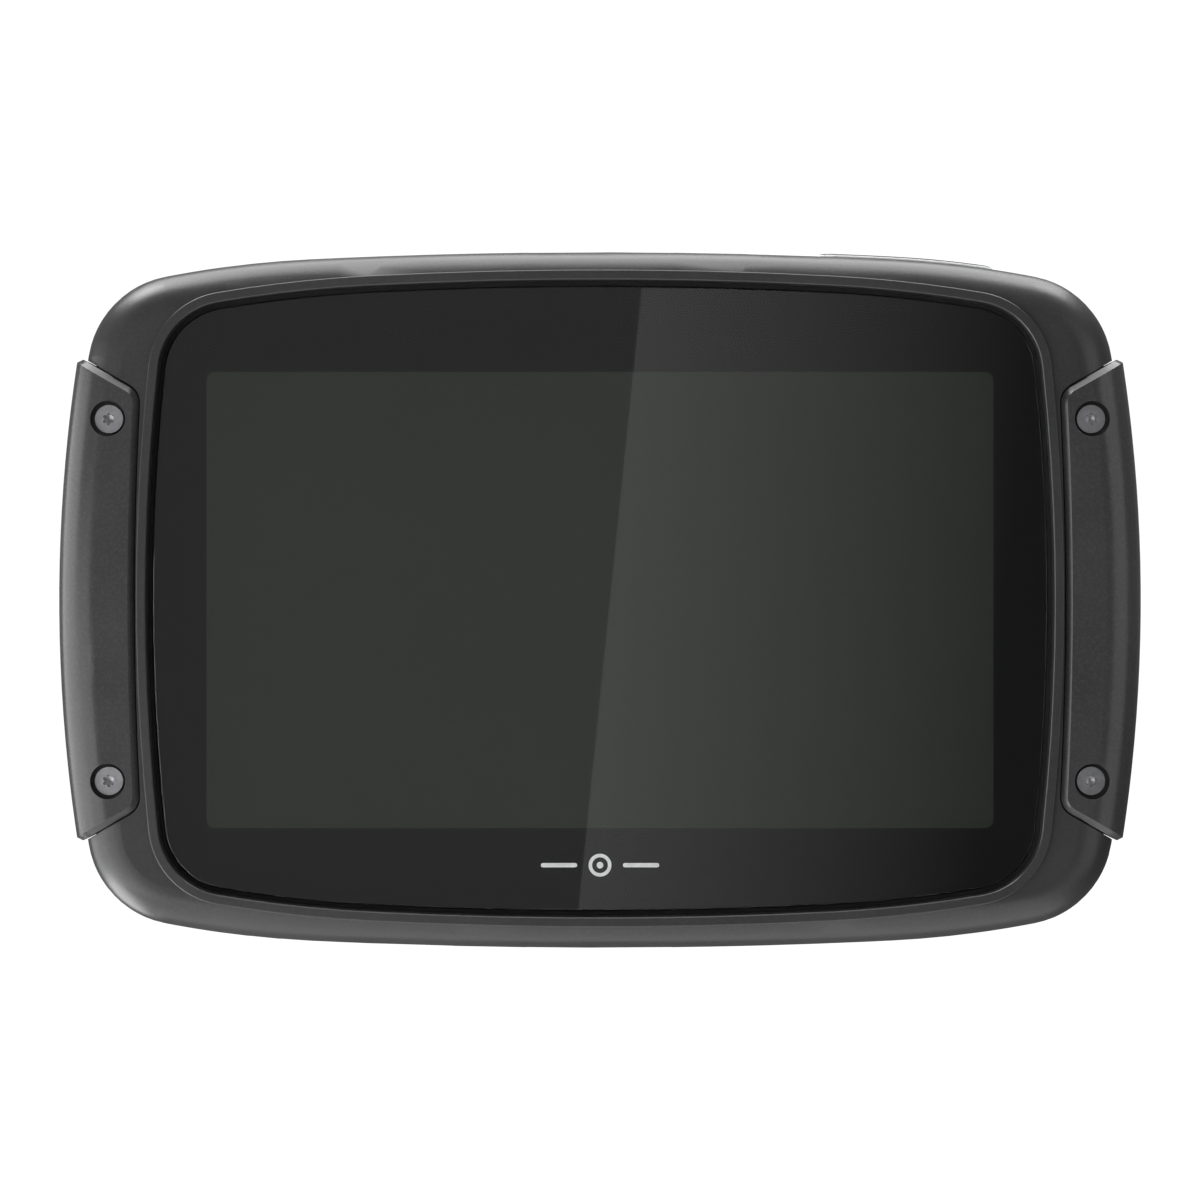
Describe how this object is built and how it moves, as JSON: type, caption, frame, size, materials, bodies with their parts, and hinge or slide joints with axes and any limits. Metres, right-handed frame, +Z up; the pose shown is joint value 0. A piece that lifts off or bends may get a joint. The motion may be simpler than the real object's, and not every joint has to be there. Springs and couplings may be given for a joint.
{
  "type": "portable satellite navigator",
  "caption": "Rugged landscape touch-screen navigator for a handlebar, with screwed side grips, top edge button, sealed port door and rear dock boss.",
  "frame": {"origin": "centre of the dock face, the flat rear face of the boss that a cradle holds", "axes": "+X along the width, to the right seen from the front; +Y out of the dock face, away from the viewer, so the screen looks along -Y; +Z up, towards the top edge with the power button"},
  "size_m": [0.1378, 0.0303, 0.0888],
  "materials": {
    "housing": "fine moulded grain, charcoal black",
    "grip": "fine moulded grain, dark grey",
    "button": "fine moulded grain, black",
    "door": "fine moulded grain, black",
    "black_screw": "black zinc",
    "steel": "plain",
    "brass": "knurled, plain",
    "cover_glass": "clear, black print round the edge",
    "tape": "black foam tape",
    "foam": "closed-cell foam",
    "display": "unlit panel, dark olive grey",
    "tray": "pressed steel",
    "diffuser": "milky white",
    "magnesium": "cast, plain",
    "board": "green solder mask",
    "tinned": "tinned",
    "ceramic": "fired ceramic with a silver patch",
    "connector": "glass-filled black",
    "polyimide": "amber film",
    "pouch": "laminated foil",
    "silicone": "black silicone",
    "switch": "black",
    "gold": "gold plate",
    "label": "blank satin film"
  },
  "bodies": {
    "body": {"front_housing": "housing", "rear_housing": "housing", "left_grip": "grip", "right_grip": "grip", "grip_screws": "black_screw", "housing_screws": "black_screw", "chassis_screws": "steel", "board_screws": "steel", "port_board_screws": "steel", "grip_inserts": "brass", "housing_inserts": "brass", "cover_glass": "cover_glass", "glass_tape": "tape", "display_gasket": "foam", "display_panel": "display", "backlight_tray": "tray", "backlight_guide": "diffuser", "chassis": "magnesium", "main_board": "board", "port_board": "board", "dock_board": "board", "processor_shield": "tinned", "radio_shield": "tinned", "gps_antenna": "ceramic", "display_connector": "connector", "touch_connector": "connector", "battery_connector": "connector", "display_flex": "polyimide", "battery": "pouch", "battery_pad": "foam", "battery_bracket": "steel", "button_membrane": "silicone", "button_retainer": "steel", "power_switch": "switch", "hinge_pin": "steel", "usb_connector": "tinned", "card_socket": "tinned", "dock_contacts": "gold", "contact_insert": "connector", "housing_seal": "silicone", "rating_label": "label"},
    "power_button": {"power_button": "button"},
    "switch_plunger": {"switch_plunger": "switch"},
    "port_door": {"port_door": "door", "door_seal": "silicone"}
  },
  "joints": [
    {"name": "button_press", "type": "slide", "parent": "body", "child": "power_button", "axis": [0, 0, -1], "range_m": [0, 0.0004], "stiffness_N_per_m": 2000, "springref_m": -0.0003, "deforming": ["button_membrane"]},
    {"name": "plunger_press", "type": "slide", "parent": "body", "child": "switch_plunger", "axis": [0, 0, -1], "range_m": [0, 0.0004]},
    {"name": "door_hinge", "type": "hinge", "parent": "body", "child": "port_door", "pos_m": [0, -0.0099, -0.0421], "axis": [1, 0, 0], "range_deg": [0, 90]}
  ],
  "couplings": [
    {"joint": "plunger_press", "follows": "button_press", "ratio": 1}
  ]
}
